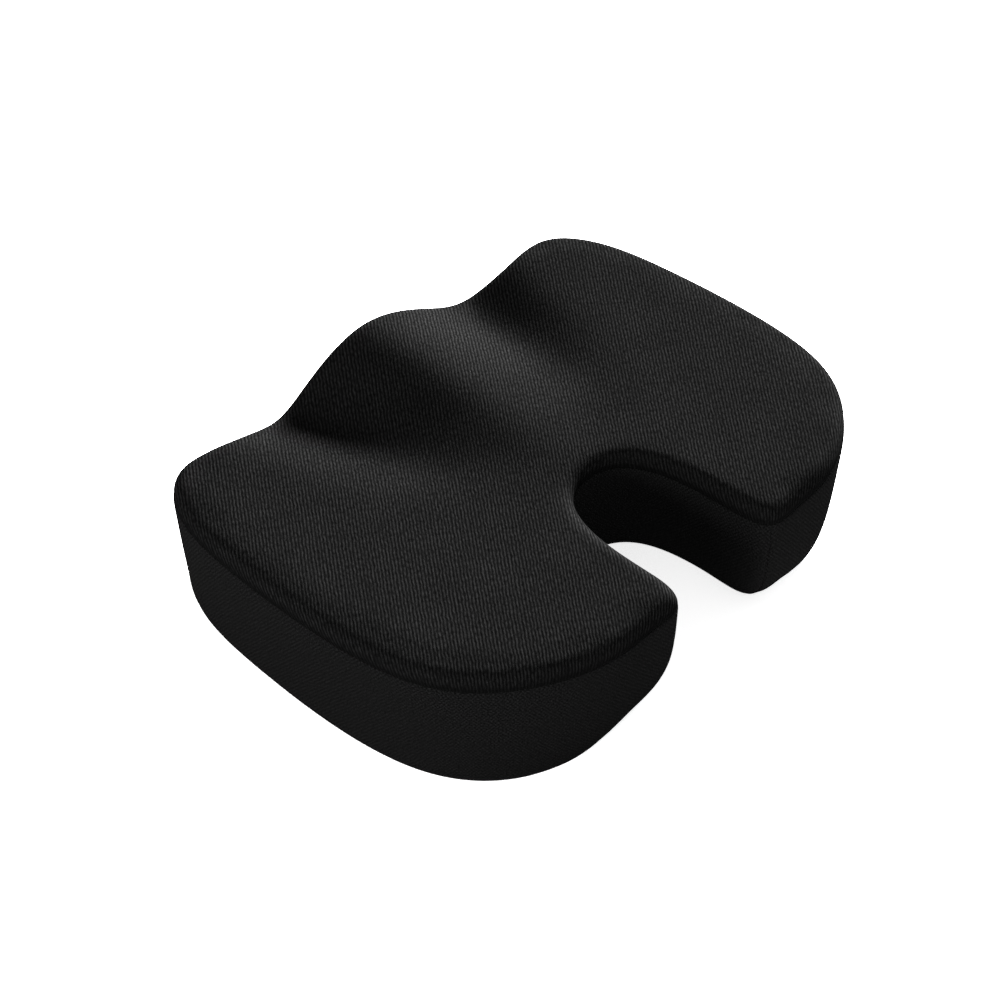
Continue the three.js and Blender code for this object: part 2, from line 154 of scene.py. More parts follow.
def outline(t, fall, inset):
    """Points of the wall at outline parameters t: fall is 0 at the top seam and 1 at the foot."""
    t, fall, inset = np.broadcast_arrays(np.asarray(t, float) % SPANS, fall, inset)
    span = np.floor(t).astype(int)
    u = t - span
    weights = [  # of a uniform cubic B-spline
        (1 - u) ** 3 / 6,
        (3 * u ** 3 - 6 * u ** 2 + 4) / 6,
        (-3 * u ** 3 + 3 * u ** 2 + 3 * u + 1) / 6,
        u ** 3 / 6,
    ]
    points = np.zeros((len(t), 2))
    for k, weight in enumerate(weights):
        i = (span + k - 1) % SPANS
        share = blend_share(np.minimum(i, SPANS - i), fall)[:, None]
        corner = SEAM_LOOP[i] * (1 - share) + FOOT_LOOP[i] * share
        corner = corner - inset[:, None] * (SEAM_MITRES[i] * (1 - share) + FOOT_MITRES[i] * share)
        points += weight[:, None] * corner
    points[:, 1] += CENTRE_SHIFT_Y
    return points


FRONT_Y = min(y for _, y in SEAM_OUTLINE) + CENTRE_SHIFT_Y
REAR_Y = max(y for _, y in SEAM_OUTLINE) + CENTRE_SHIFT_Y


def fade(y, start):
    """0 behind start, rising smoothly to 1 at the front edge."""
    share = np.clip((start - y) / (start - FRONT_Y), 0, 1)
    return share * share * (3 - 2 * share)


def narrowing(y):
    """Widths of the ridge and the hollows at y, as a share of those at the front edge."""
    end = NARROWING_END_Y + CENTRE_SHIFT_Y
    return 1 - (1 - NARROWING) * np.clip((y - FRONT_Y) / (end - FRONT_Y), 0, 1)


def seat_height(x, y):
    forward = np.clip((REAR_Y - y) / (REAR_Y - FRONT_Y), 0, 1)
    across = np.abs(x) / narrowing(y)
    pommel = np.exp(-((across / POMMEL_HALF_WIDTH) ** POMMEL_SHAPE))
    trough = np.exp(-(((across - TROUGH_X) / TROUGH_HALF_WIDTH) ** 2))
    return (REAR_HEIGHT - FRONT_DROP * forward
            + POMMEL_RISE * pommel * fade(y, POMMEL_REACH_Y + CENTRE_SHIFT_Y)
            - TROUGH_DEPTH * trough * fade(y, TROUGH_REACH_Y + CENTRE_SHIFT_Y))


def border_height(t):
    xy = outline(t, 0.0, TOP_EDGE_RADIUS)
    return seat_height(xy[:, 0], xy[:, 1])


def seam_height(t):
    return border_height(t) - TOP_EDGE_RADIUS


# ---- Stations: points round the outline, evenly spaced between the upright seams ----
def length_along(path):
    """The distance from the first point of a path to each of its points."""
    return np.concatenate([[0], np.cumsum(np.linalg.norm(np.diff(path, axis=0), axis=1))])


def spread(length, step):
    """Distances along a run between two seams: the start, then evenly spaced from land to land."""
    inner = length - 2 * SEAM_LAND
    count = max(1, round(inner / step))
    return np.concatenate([[0], SEAM_LAND + np.arange(count + 1) / count * inner])


def even_stations(step):
    """Outline parameters of the stations, and the index of the station at each upright seam."""
    seams = [-FRONT_SPLIT, FRONT_SPLIT, MOUTH_SPLIT, SPANS - MOUTH_SPLIT, SPANS - FRONT_SPLIT]
    stations, marks = [], []
    for start, end in zip(seams, seams[1:]):
        fine = np.linspace(start, end, RUN_SAMPLES)
        run = length_along(outline(fine, 0.5, 0.0))
        marks.append(len(stations))
        stations += list(np.interp(spread(run[-1], step), run, fine))
    return np.array(stations), marks


STATIONS, MARKS = even_stations(PANEL_STEP)
COUNT = len(STATIONS)
TOP_SEAM = seam_height(STATIONS)


def top_ring(depth, turn):
    radius = TOP_EDGE_RADIUS - depth
    xy = outline(STATIONS, 0.0, TOP_EDGE_RADIUS - radius * math.sin(turn))
    z = border_height(STATIONS) - TOP_EDGE_RADIUS + radius * math.cos(turn)
    return np.column_stack([xy, z])


def foot_ring(depth, turn):
    radius = FOOT_EDGE_RADIUS - depth
    xy = outline(STATIONS, 1.0, FOOT_EDGE_RADIUS - radius * math.cos(turn))
    z = np.full(COUNT, FOOT_EDGE_RADIUS - radius * math.sin(turn))
    return np.column_stack([xy, z])


def wall_ring(z, depth):
    fall = np.clip((TOP_SEAM - z) / (TOP_SEAM - FOOT_EDGE_RADIUS), 0, 1)
    return np.column_stack([outline(STATIONS, fall, depth), np.broadcast_to(z, COUNT)])


def grid_inside(ring_xy, step):
    """Points of a square grid that lie inside a closed ring, clear of it."""
    low, high = ring_xy.min(0), ring_xy.max(0)
    reach = math.ceil(high[0] / step)
    xs = np.arange(-reach, reach + 1) * step
    ys = np.arange(low[1] + step / 2, high[1], step)
    grid = np.stack(np.meshgrid(xs, ys), -1).reshape(-1, 2)
    following = np.roll(ring_xy, -1, 0)
    inside = np.zeros(len(grid), bool)
    nearest = np.full(len(grid), np.inf)
    for a, b in zip(ring_xy, following):
        side = b - a
        crosses = (a[1] > grid[:, 1]) != (b[1] > grid[:, 1])
        if crosses.any():
            inside ^= crosses & (grid[:, 0] < side[0] * (grid[:, 1] - a[1]) / side[1] + a[0])
        along = np.clip(((grid - a) @ side) / (side @ side), 0, 1)
        nearest = np.minimum(nearest, np.linalg.norm(grid - a - along[:, None] * side, axis=1))
    return grid[inside & (nearest > GRID_CLEARANCE * step)]


def fill_ring(ring_xy, step):
    """Squares and triangles inside a closed ring, whose own points come first."""
    points = np.concatenate([ring_xy, grid_inside(ring_xy, step)])
    boundary = [list(range(len(ring_xy)))]
    inside_only, merge_distance = 1, 1e-5
    found = delaunay_2d_cdt([Vector(p) for p in points], [], boundary, inside_only, merge_distance)
    triangles, sources = found[2:4]
    index = [source[0] for source in sources]
    bm = bmesh.new()
    verts = [bm.verts.new((x, y, 0)) for x, y in points]
    for triangle in triangles:
        bm.faces.new([verts[index[v]] for v in triangle])
    for face in bm.faces:
        face.normal_update()
        if face.normal.z < 0:
            face.normal_flip()
    bmesh.ops.join_triangles(
        bm, faces=bm.faces[:],
        angle_face_threshold=math.radians(JOIN_FLATNESS),
        angle_shape_threshold=math.radians(JOIN_SQUARENESS),
    )
    bm.verts.index_update()
    faces = [tuple(v.index for v in face.verts) for face in bm.faces]
    bm.free()
    return points, faces


# ---- A closed surface at one depth of the cushion, zone by zone ----
class Shell:
    """Points in millimetres, with the faces of each panel."""

    def __init__(self):
        self.parts = []
        self.count = 0
        self.panels = {}

    def add_points(self, points):
        self.parts.append(np.asarray(points, float))
        first = self.count
        self.count += len(points)
        return first

    def add_face(self, panel, face):
        self.panels.setdefault(panel, []).append(tuple(face))

    def points(self):
        return np.concatenate(self.parts)

    def faces(self):
        return [face for faces in self.panels.values() for face in faces]


def cover_panel_names(zone):
    """The cover panel at each station in a zone of the wall."""
    names = np.empty(COUNT, object)
    bands = ("front", "side_left", "cutout", "side_right")
    for name, start, end in zip(bands, MARKS, MARKS[1:] + [COUNT]):
        names[start:end] = name
    front = names == "front"
    middle = np.abs(outline(STATIONS, 1.0, 0.0)[:, 0])
    inside_opening = front & (np.maximum(middle, np.roll(middle, -1)) < OPENING_HALF_LENGTH)
    names[front] = "front_upper" if zone in ("above", "zip_upper") else "front_lower"
    if zone in ("zip_upper", "zip_lower"):
        names[inside_opening] = "zip_opening"
    return names


def build_shell(depth, panel_names):
    """The surface at a depth below the cover's outer face; panel_names gives each zone's panels."""
    shell = Shell()
    turns = [k / ROUND_STEPS * math.pi / 2 for k in range(ROUND_STEPS + 1)]
    rings = [top_ring(depth, turn) for turn in turns]
    zones = ["top"] * ROUND_STEPS
    levels = [TOP_SEAM] + [np.full(COUNT, float(z)) for z in (
        ZIP_HEIGHT + ZIP_OPENING / 2, ZIP_HEIGHT, ZIP_HEIGHT - ZIP_OPENING / 2, FOOT_EDGE_RADIUS)]
    for high, low, zone in zip(levels, levels[1:], ("above", "zip_upper", "zip_lower", "below")):
        length = (high - low).mean()
        step = length / 2 + SEAM_LAND if zone.startswith("zip") else PANEL_STEP
        for distance in [*spread(length, step)[1:], length]:
            rings.append(wall_ring(high + (low - high) * distance / length, depth))
            zones.append(zone)
    rings[-1] = foot_ring(depth, 0.0)
    rings += [foot_ring(depth, turn) for turn in turns[1:]]
    zones += ["bottom"] * ROUND_STEPS
    starts = [shell.add_points(ring) for ring in rings]
    for upper, lower, zone in zip(starts, starts[1:], zones):
        names = panel_names(zone)
        for c in range(COUNT):
            following = (c + 1) % COUNT
            name = names if isinstance(names, str) else names[c]
            shell.add_face(name, (upper + c, lower + c, lower + following, upper + following))
    for zone, ring_start, ring in (("top", starts[0], rings[0]), ("bottom", starts[-1], rings[-1])):
        points, faces = fill_ring(ring[:, :2], PANEL_STEP)
        inner = points[COUNT:]
        height = np.full(len(inner), depth)
        if zone == "top":
            height = seat_height(inner[:, 0], inner[:, 1]) - depth
        shift = shell.add_points(np.column_stack([inner, height])) - COUNT
        for face in faces:
            face = [i + (ring_start if i < COUNT else shift) for i in face]
            shell.add_face(panel_names(zone), face if zone == "top" else face[::-1])
    return shell


# ---- Mesh helpers ----
def mesh_object(name, points_mm, faces, smooth=True):
    mesh = bpy.data.meshes.new(name)
    mesh.from_pydata((np.asarray(points_mm, float) * MM).tolist(), [], faces)
    mesh.validate()
    if smooth:
        mesh.shade_smooth()
    obj = bpy.data.objects.new(name, mesh)
    bpy.context.scene.collection.objects.link(obj)
    return obj


def evaluated_mesh(obj):
    return bpy.data.meshes.new_from_object(obj.evaluated_get(bpy.context.evaluated_depsgraph_get()))


def apply_modifiers(obj):
    mesh = evaluated_mesh(obj)
    obj.modifiers.clear()
    obj.data = mesh
    obj.data.shade_smooth()


def vertex_places(mesh):
    values = np.empty(3 * len(mesh.vertices))
    mesh.vertices.foreach_get("co", values)
    return values.reshape(-1, 3)


def loop_vertices(mesh):
    """The vertex at each corner of each face."""
    found = np.empty(len(mesh.loops), int)
    mesh.loops.foreach_get("vertex_index", found)
    return found


def add_uv(mesh, name, places):
    mesh.uv_layers.new(name=name).data.foreach_set("uv", places.ravel())


def thicken(obj, thickness, levels, offset=-1):
    solid = obj.modifiers.new("thickness", "SOLIDIFY")
    solid.thickness = thickness * MM
    solid.offset = offset
    solid.edge_crease_inner = solid.edge_crease_outer = solid.edge_crease_rim = 1.0
    if levels:
        fine = obj.modifiers.new("fine", "SUBSURF")
        fine.levels = fine.render_levels = levels
        fine.boundary_smooth = "PRESERVE_CORNERS"
    apply_modifiers(obj)


def panel_object(name, shell, points, panels, thickness, levels):
    """Some of a shell's panels as one piece of fabric with its thickness."""
    faces = [face for panel in panels for face in shell.panels[panel]]
    used = sorted({i for face in faces for i in face})
    position = {i: k for k, i in enumerate(used)}
    obj = mesh_object(name, points[used], [tuple(position[i] for i in face) for face in faces])
    thicken(obj, thickness, levels)
    return obj


def seam_points(shell, ignored=()):
    """Points that two or more panels share."""
    owners = {}
    for panel, faces in shell.panels.items():
        if panel not in ignored:
            for i in {i for face in faces for i in face}:
                owners.setdefault(i, set()).add(panel)
    return sorted(i for i, names in owners.items() if len(names) > 1)


def smoothed(field, faces, rounds):
    """A field of vectors averaged with its neighbours along the edges."""
    edges = np.array(sorted({tuple(sorted(e)) for face in faces for e in zip(face, face[1:] + face[:1])}))
    degree = np.bincount(edges.ravel(), minlength=len(field))[:, None]
    for _ in range(rounds):
        total = np.zeros_like(field)
        np.add.at(total, edges[:, 0], field[edges[:, 1]])
        np.add.at(total, edges[:, 1], field[edges[:, 0]])
        field = 0.5 * field + 0.5 * total / np.maximum(degree, 1)
    return field


SIMULATED_FRAMES = 20
SIMULATED_PRESSURE = 4
LEAST_MOVE = 1e-9  # stops a division by zero


def inflated(shell, points):
    """The cover blown up as cloth that is held at its seams, with each point moving PUFF at most."""
    faces = shell.faces()
    pad = mesh_object("simulated_cover", points, faces)
    held = seam_points(shell)
    pad.vertex_groups.new(name="seams").add(held, 1.0, "REPLACE")
    cloth = pad.modifiers.new("cloth", "CLOTH")
    cloth.settings.use_pressure = True
    cloth.settings.uniform_pressure_force = SIMULATED_PRESSURE
    cloth.settings.effector_weights.gravity = 0
    cloth.settings.vertex_group_mass = "seams"
    cloth.point_cache.frame_end = SIMULATED_FRAMES
    scene = bpy.context.scene
    for number in range(1, SIMULATED_FRAMES + 1):
        scene.frame_set(number)
    moved = vertex_places(evaluated_mesh(pad)) / MM - points
    scene.frame_set(1)
    bpy.data.objects.remove(pad)
    moved = smoothed(moved, faces, SMOOTHING_ROUNDS)
    moved[held] = 0
    size = np.linalg.norm(moved, axis=1)[:, None]
    return points + moved * PUFF * np.tanh(size / PUFF) / np.maximum(size, LEAST_MOVE)


def drawn_in(shell, points):
    """The seams between panels pulled in towards the foam."""
    probe = mesh_object("probe", points, shell.faces())
    normals = np.empty(3 * len(points))
    probe.data.vertex_normals.foreach_get("vector", normals)
    bpy.data.objects.remove(probe)
    seams = seam_points(shell, ignored=("zip_opening",))
    sunk = points.copy()
    sunk[seams] -= SEAM_SINK * normals.reshape(-1, 3)[seams]
    return sunk


# ---- Materials ----
MIX_SHARE, MIX_A, MIX_B = 0, 6, 7  # inputs of a Mix node for colours
MIX_RESULT = 2  # its output


class Nodes:
    """Short names for making and linking shader nodes."""

    def __init__(self, name):
        self.material = bpy.data.materials.new(name)
        self.material.use_nodes = True
        self.tree = self.material.node_tree
        self.shader = self.tree.nodes["Principled BSDF"]

    def put(self, node, key, value):
        if isinstance(value, bpy.types.NodeSocket):
            self.tree.links.new(value, node.inputs[key])
        else:
            node.inputs[key].default_value = value

    def add(self, kind, settings=None, **inputs):
        node = self.tree.nodes.new("ShaderNode" + kind)
        for key, value in (settings or {}).items():
            setattr(node, key, value)
        for key, value in inputs.items():
            self.put(node, key, value)
        return node

    def math(self, operation, a, b=0.0):
        node = self.add("Math", {"operation": operation})
        self.put(node, 0, a)
        self.put(node, 1, b)
        return node.outputs[0]

    def scaled(self, value, gain, base):
        return self.math("ADD", self.math("MULTIPLY", value, gain), base)

    def noise(self, place, scale, detail=2.0, rough=0.5):
        return self.add("TexNoise", Vector=place, Scale=scale, Detail=detail, Roughness=rough).outputs[0]

    def wave(self, distance, pitch):
        """1 to 0 and back over each pitch, in millimetres, of a distance in metres."""
        phase = self.math("MULTIPLY", distance, 2 * math.pi / (pitch * MM))
        return self.scaled(self.math("COSINE", phase), 0.5, 0.5)

    def ramp(self, value, low, high):
        """0 below low, rising evenly to 1 at high."""
        node = self.add("MapRange")
        self.put(node, "Value", value)
        self.put(node, "From Min", low)
        self.put(node, "From Max", high)
        return node.outputs[0]

    def colour(self, share, dark, light):
        node = self.add("Mix", {"data_type": "RGBA"})
        self.put(node, MIX_SHARE, share)
        self.put(node, MIX_A, dark)
        self.put(node, MIX_B, light)
        self.put(self.shader, "Base Color", node.outputs[MIX_RESULT])

    def bump(self, height, strength, distance):
        node = self.add("Bump", Strength=strength, Distance=distance * MM, Height=height)
        self.put(self.shader, "Normal", node.outputs[0])

    def roughness(self, share, at_zero, at_one):
        node = self.add("MapRange")
        self.put(node, "Value", share)
        self.put(node, "To Min", at_zero)
        self.put(node, "To Max", at_one)
        self.put(self.shader, "Roughness", node.outputs[0])

    def finish(self, **values):
        """Sets plain values on the shader, such as Metallic=1.0, and returns the material."""
        for key, value in values.items():
            self.shader.inputs[key.replace("_", " ")].default_value = value
        return self.material


def grey(value, blue=1.0):
    return (value, value, value * blue, 1.0)


FABRIC_FINISH = {"Specular_IOR_Level": 0.0, "Sheen_Weight": 0.0}
RIB_PITCH = 2.4
RIB_ANGLE = 49.7  # degrees from +X, in plan
RIB_FAN = 0.46  # how much closer the ribs run, per metre along them
RIB_WANDER = 1.6  # millimetres that a rib strays, for noise from 0 to 1


def ribbed_fabric():
    """Fine knitted ribs that run diagonally over the seat, each broken into long light stitches."""
    n = Nodes("ribbed_fabric")
    place = n.add("TexCoord").outputs["Object"]
    unrolled = n.add("UVMap", {"uv_map": "ribs"}).outputs[0]
    rotation = (0, 0, math.radians(RIB_ANGLE))
    turned = n.add("Mapping", {"vector_type": "TEXTURE"}, Vector=unrolled, Rotation=rotation).outputs[0]
    along, sideways = n.add("SeparateXYZ", Vector=turned).outputs[:2]
    wander = n.math("SUBTRACT", n.noise(turned, scale=150.0), 0.5)
    across = n.math("MULTIPLY", sideways, n.scaled(along, RIB_FAN, 1.0))
    across = n.math("ADD", across, n.math("MULTIPLY", wander, RIB_WANDER * MM))
    rib = n.wave(across, RIB_PITCH)
    stretched = n.add("CombineXYZ")
    n.put(stretched, "X", n.math("MULTIPLY", along, 0.4))
    n.put(stretched, "Y", across)
    stitches = n.noise(stretched.outputs[0], scale=760.0, detail=3.0, rough=0.65)
    dash = n.ramp(stitches, low=0.36, high=0.66)
    patch = n.noise(place, scale=30.0)
    # Painted shade: darker where the surface turns away from facing up, over the rounded edge.
    upward = n.add("SeparateXYZ", Vector=n.add("NewGeometry").outputs["Normal"]).outputs[2]
    painted_edge_shade = n.scaled(n.ramp(upward, low=0.2, high=0.95), 0.85, 0.15)
    light = n.math("MULTIPLY", n.math("ADD", rib, 0.15), n.scaled(dash, 0.8, 0.15))
    light = n.math("MULTIPLY", light, n.scaled(patch, 0.5, 0.75))
    # painted shade from the normal's height, laid over the rib colour
    light = n.math("MULTIPLY", light, painted_edge_shade)
    n.colour(light, dark=grey(0.0010), light=grey(0.0110))
    relief = n.math("ADD", n.math("MULTIPLY", rib, 0.7), n.math("MULTIPLY", dash, 0.3))
    n.bump(relief, strength=0.6, distance=0.35)
    n.roughness(dash, at_zero=0.8, at_one=0.65)
    return n.finish(**FABRIC_FINISH)


KNIT_PITCH = 2.3
KNIT_SLOPE = (0.77, 0.64)  # share of the length round the wall and of the height in a diagonal


def side_knit():
    """Fine mesh knit with two crossing diagonals, on the upright bands."""
    n = Nodes("side_knit")
    weave = n.add("UVMap", {"uv_map": "weave"}).outputs[0]
    around, height = n.add("SeparateXYZ", Vector=weave).outputs[:2]
    waves = []
    for sign in (1, -1):
        rise = n.math("MULTIPLY", height, KNIT_SLOPE[1] * sign)
        diagonal = n.math("ADD", n.math("MULTIPLY", around, KNIT_SLOPE[0]), rise)
        waves.append(n.wave(diagonal, KNIT_PITCH))
    cross = n.math("MULTIPLY", n.math("ADD", waves[0], waves[1]), 0.5)
    speckle = n.ramp(n.noise(weave, scale=880.0, detail=3.0, rough=0.65), low=0.36, high=0.64)
    light = n.math("MULTIPLY", n.scaled(cross, 0.75, 0.25), speckle)
    n.colour(light, dark=grey(0.0008), light=grey(0.0076))
    n.bump(light, strength=0.5, distance=0.3)
    n.roughness(speckle, at_zero=0.9, at_one=0.75)
    return n.finish(**FABRIC_FINISH)


ROUGHNESS_SPREAD = 0.08  # either way, over a woven fabric


def woven(name, dark, light, pitch, roughness, twill=0.0):
    """Plain or twill weave whose threads follow the object's own axes."""
    n = Nodes(name)
    place = n.add("TexCoord").outputs["Object"]
    x, y, z = n.add("SeparateXYZ", Vector=place).outputs[:3]
    down = n.math("ADD", y, z)
    warp = n.wave(n.math("ADD", x, n.math("MULTIPLY", down, twill)), pitch)
    weft = n.wave(down, pitch)
    cross = n.math("MULTIPLY", n.math("ADD", n.math("MULTIPLY", warp, weft), warp), 0.5)
    speckle = n.noise(place, scale=900.0)
    share = n.math("MULTIPLY", cross, n.math("ADD", speckle, 0.4))
    n.colour(share, dark, light)
    n.bump(share, strength=0.4, distance=0.2)
    n.roughness(speckle, at_zero=roughness + ROUGHNESS_SPREAD, at_one=roughness - ROUGHNESS_SPREAD)
    return n.finish(**FABRIC_FINISH)


def foam_material():
    n = Nodes("foam")
    place = n.add("TexCoord").outputs["Object"]
    cells = n.add("TexVoronoi", Vector=place, Scale=700.0).outputs[0]
    cloud = n.noise(place, scale=25.0, detail=3.0)
    n.colour(cloud, dark=(0.80, 0.70, 0.46, 1.0), light=(0.90, 0.83, 0.62, 1.0))
    n.bump(cells, strength=0.6, distance=0.4)
    n.roughness(cloud, at_zero=0.85, at_one=0.95)
    return n.finish(Specular_IOR_Level=0.2)


def nylon(name, shade):
    n = Nodes(name)
    place = n.add("TexCoord").outputs["Object"]
    smear = n.noise(place, scale=400.0, detail=3.0)
    n.colour(smear, dark=grey(shade * 0.7), light=grey(shade * 1.4))
    n.bump(smear, strength=0.15, distance=0.1)
    n.roughness(smear, at_zero=0.45, at_one=0.65)
    return n.finish(Specular_IOR_Level=0.08)


def rubber():
    n = Nodes("grip_dots")
    place = n.add("TexCoord").outputs["Object"]
    grain = n.noise(place, scale=1500.0)
    n.colour(grain, dark=grey(0.003), light=grey(0.006))
    n.bump(grain, strength=0.3, distance=0.1)
    n.roughness(grain, at_zero=0.5, at_one=0.65)
    return n.finish(Specular_IOR_Level=0.1)


def gunmetal():
    n = Nodes("zip_metal")
    place = n.add("TexCoord").outputs["Object"]
    long_way = n.add("Mapping", Vector=place, Scale=(0.15, 1.0, 1.0)).outputs[0]
    scratch = n.noise(long_way, scale=2500.0, detail=3.0)
    worn = n.ramp(n.noise(place, scale=350.0), low=0.45, high=0.75)
    n.colour(worn, dark=grey(0.02, blue=1.1), light=grey(0.055, blue=1.06))
    n.bump(scratch, strength=0.12, distance=0.05)
    n.roughness(scratch, at_zero=0.28, at_one=0.46)
    return n.finish(Metallic=1.0)


def paint(obj, material):
    obj.data.materials.clear()
    obj.data.materials.append(material)


BLOCK = 2000  # points compared with a path at once, to save memory
UNROLLED_FROM = 0.05  # millimetres gained by unrolling; less is left out


def nearest_on(path, points):
    """The index of the path point nearest to each point."""
    nearest = np.empty(len(points), int)
    for start in range(0, len(points), BLOCK):
        away = points[start:start + BLOCK, None, :] - path[None, :, :]
        nearest[start:start + BLOCK] = (away ** 2).sum(2).argmin(1)
    return nearest


def add_rib_uv(obj):
    """The plan of the top panel in metres, unrolled over its rounded edge."""
    mesh = obj.data
    coords = vertex_places(mesh) / MM
    plan = coords[:, :2].copy()
    drop = np.clip(seat_height(plan[:, 0], plan[:, 1]) - coords[:, 2], 0, TOP_EDGE_RADIUS)
    turn = np.arccos(1 - drop / TOP_EDGE_RADIUS)
    gained = TOP_EDGE_RADIUS * (turn - np.sin(turn))
    path = outline(np.linspace(0, SPANS, PATH_SAMPLES), 0.0, TOP_EDGE_RADIUS)
    along = np.gradient(path, axis=0)
    outward = np.column_stack([along[:, 1], -along[:, 0]])
    outward /= np.linalg.norm(outward, axis=1)[:, None]
    curved = np.flatnonzero(gained > UNROLLED_FROM)
    plan[curved] += gained[curved, None] * outward[nearest_on(path, plan[curved])]
    add_uv(mesh, "ribs", plan[loop_vertices(mesh)] * MM)


def add_wall_uv(obj):
    """A weave map in metres: the length round the outline, and the height."""
    path = outline(np.linspace(0, SPANS, PATH_SAMPLES), 0.5, 0.0)
    run = length_along(path) * MM
    mesh = obj.data
    coords = vertex_places(mesh)
    loops = loop_vertices(mesh)
    u = run[nearest_on(path, coords[:, :2] / MM)][loops]
    # A face that spans the start of the outline keeps all its corners on one side of it.
    counts = np.empty(len(mesh.polygons), int)
    mesh.polygons.foreach_get("loop_total", counts)
    first = np.repeat(np.concatenate([[0], np.cumsum(counts)[:-1]]), counts)
    u = u - run[-1] * np.round((u - u[first]) / run[-1])
    add_uv(mesh, "weave", np.column_stack([u, coords[loops, 2]]))


def settle(obj, nodes, material, body=BODY):
    """The piece's material, the body it rides on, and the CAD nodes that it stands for."""
    paint(obj, material)
    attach(obj, body)
    if nodes:
        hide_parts(*nodes)
    return obj


RIBBED = ribbed_fabric()
KNIT = side_knit()
BASE = woven("base_fabric", grey(0.002), grey(0.008), pitch=1.1, roughness=0.85, twill=0.8)
LINER = woven("liner", grey(0.55, blue=0.96), grey(0.75, blue=0.97), pitch=0.9, roughness=0.85)
TAPE = woven("zip_tape", grey(0.002), grey(0.01), pitch=0.8, roughness=0.75, twill=1.0)
LABEL = woven("label", grey(0.022), grey(0.04), pitch=0.9, roughness=0.6)
THREAD = nylon("thread", shade=0.006)
COIL = nylon("zip_coil", shade=0.006)
METAL = gunmetal()
RUBBER = rubber()
FOAM = foam_material()

# ---- Foam and liner ----
foam_shell = build_shell(FOAM_DEPTH, lambda zone: "foam")
foam = settle(mesh_object("foam", foam_shell.points(), foam_shell.faces()), ["foam_core"], FOAM)

liner_shell = build_shell(LINER_DEPTH, lambda zone: "upper" if zone in ("top", "above") else "lower")
for half, node in (("upper", "liner_top"), ("lower", "liner_bottom")):
    liner = panel_object("liner_" + half, liner_shell, liner_shell.points(), [half], LINER_FABRIC, 0)
    settle(liner, [node], LINER)

# ---- Cover ----
shell = build_shell(0.0, lambda zone: zone if zone in ("top", "bottom") else cover_panel_names(zone))
cover_points = shell.points()
cover_points = inflated(shell, cover_points)
cover_points = drawn_in(shell, cover_points)
# The cushion stands on its grip dots.
cover_points[:, 2] = np.maximum(cover_points[:, 2], DOT_HEIGHT)

COVER_PANELS = {
    "cover_top": ("top", "top_panel", "ribbed_fabric", RIBBED),
    "cover_side_left": ("side_left", "side_band_left", "side_knit", KNIT),
    "cover_side_right": ("side_right", "side_band_right", "side_knit", KNIT),
    "cover_cutout": ("cutout", "cutout_band", "side_knit", KNIT),
    "cover_front_upper": ("front_upper", "front_band_upper", "side_knit", KNIT),
    "cover_front_lower": ("front_lower", "front_band_lower", "side_knit", KNIT),
    "cover_bottom": ("bottom", "bottom_panel", "base_fabric", BASE),
}
cover = {}
for piece_name, (panel, node, slot, material) in COVER_PANELS.items():
    piece = panel_object(piece_name, shell, cover_points, [panel], FABRIC_THICKNESS, 1)
    if slot == "side_knit":
        add_wall_uv(piece)
    if slot == "ribbed_fabric":
        add_rib_uv(piece)
    settle(piece, [node], material)
    cover[piece_name] = piece


def surface_of(obj):
    corners = [vertex.co for vertex in obj.data.vertices]
    return BVHTree.FromPolygons(corners, [polygon.vertices for polygon in obj.data.polygons])


def add_repeated(name, unit_points, unit_faces, frames, material):
    """Copies of a small closed shape as one piece, each at (origin, x axis, y axis, z axis)."""
    points, faces = [], []
    for origin, *axes in frames:
        first = len(points) * len(unit_points)
        points.append(np.asarray(unit_points) @ np.array(axes, float) + np.asarray(origin, float))
        faces += [tuple(i + first for i in face) for face in unit_faces]
    return settle(mesh_object(name, np.concatenate(points), faces), [], material)


def ringed_solid(rings):
    """Points and faces of a closed shape through rings of points, with a fan over each end."""
    sides = len(rings[0])
    points = [p for ring in rings for p in ring]
    faces = []
    for r in range(len(rings) - 1):
        for k in range(sides):
            after = (k + 1) % sides
            faces.append((r * sides + k, r * sides + after, (r + 1) * sides + after, (r + 1) * sides + k))
    last = (len(rings) - 1) * sides
    faces += [tuple(range(sides))[::-1], tuple(last + k for k in range(sides))]
    return points, faces


# Grip dots: low rubber domes in a staggered grid over the flat of the underside.
DOT_SIDES = 10
DOT_RING_SAMPLES = 300
DOT_PROFILE = ((1.0, 0.35), (0.92, -0.2), (0.62, -0.5), (0.3, -0.6))  # share of the radius, height


def dot_shape():
    turns = [k / DOT_SIDES * 2 * math.pi for k in range(DOT_SIDES)]
    rings = []
    for share, z in DOT_PROFILE:
        radius = DOT_RADIUS * share
        rings.append([(radius * math.cos(a), radius * math.sin(a), z) for a in turns])
    return ringed_solid([ring[::-1] for ring in rings])


dot_points, dot_faces = dot_shape()
around_foot = np.linspace(0, SPANS, DOT_RING_SAMPLES, endpoint=False)
flat_ring = outline(around_foot, 1.0, FOOT_EDGE_RADIUS + DOT_MARGIN)
places = [grid_inside(flat_ring + offset, DOT_PITCH) - offset for offset in (0.0, DOT_PITCH / 2)]
upright = ((1, 0, 0), (0, 1, 0), (0, 0, 1))
add_repeated("grip_dots", dot_points, dot_faces,
             [((x, y, DOT_HEIGHT), *upright) for x, y in np.concatenate(places)], RUBBER)

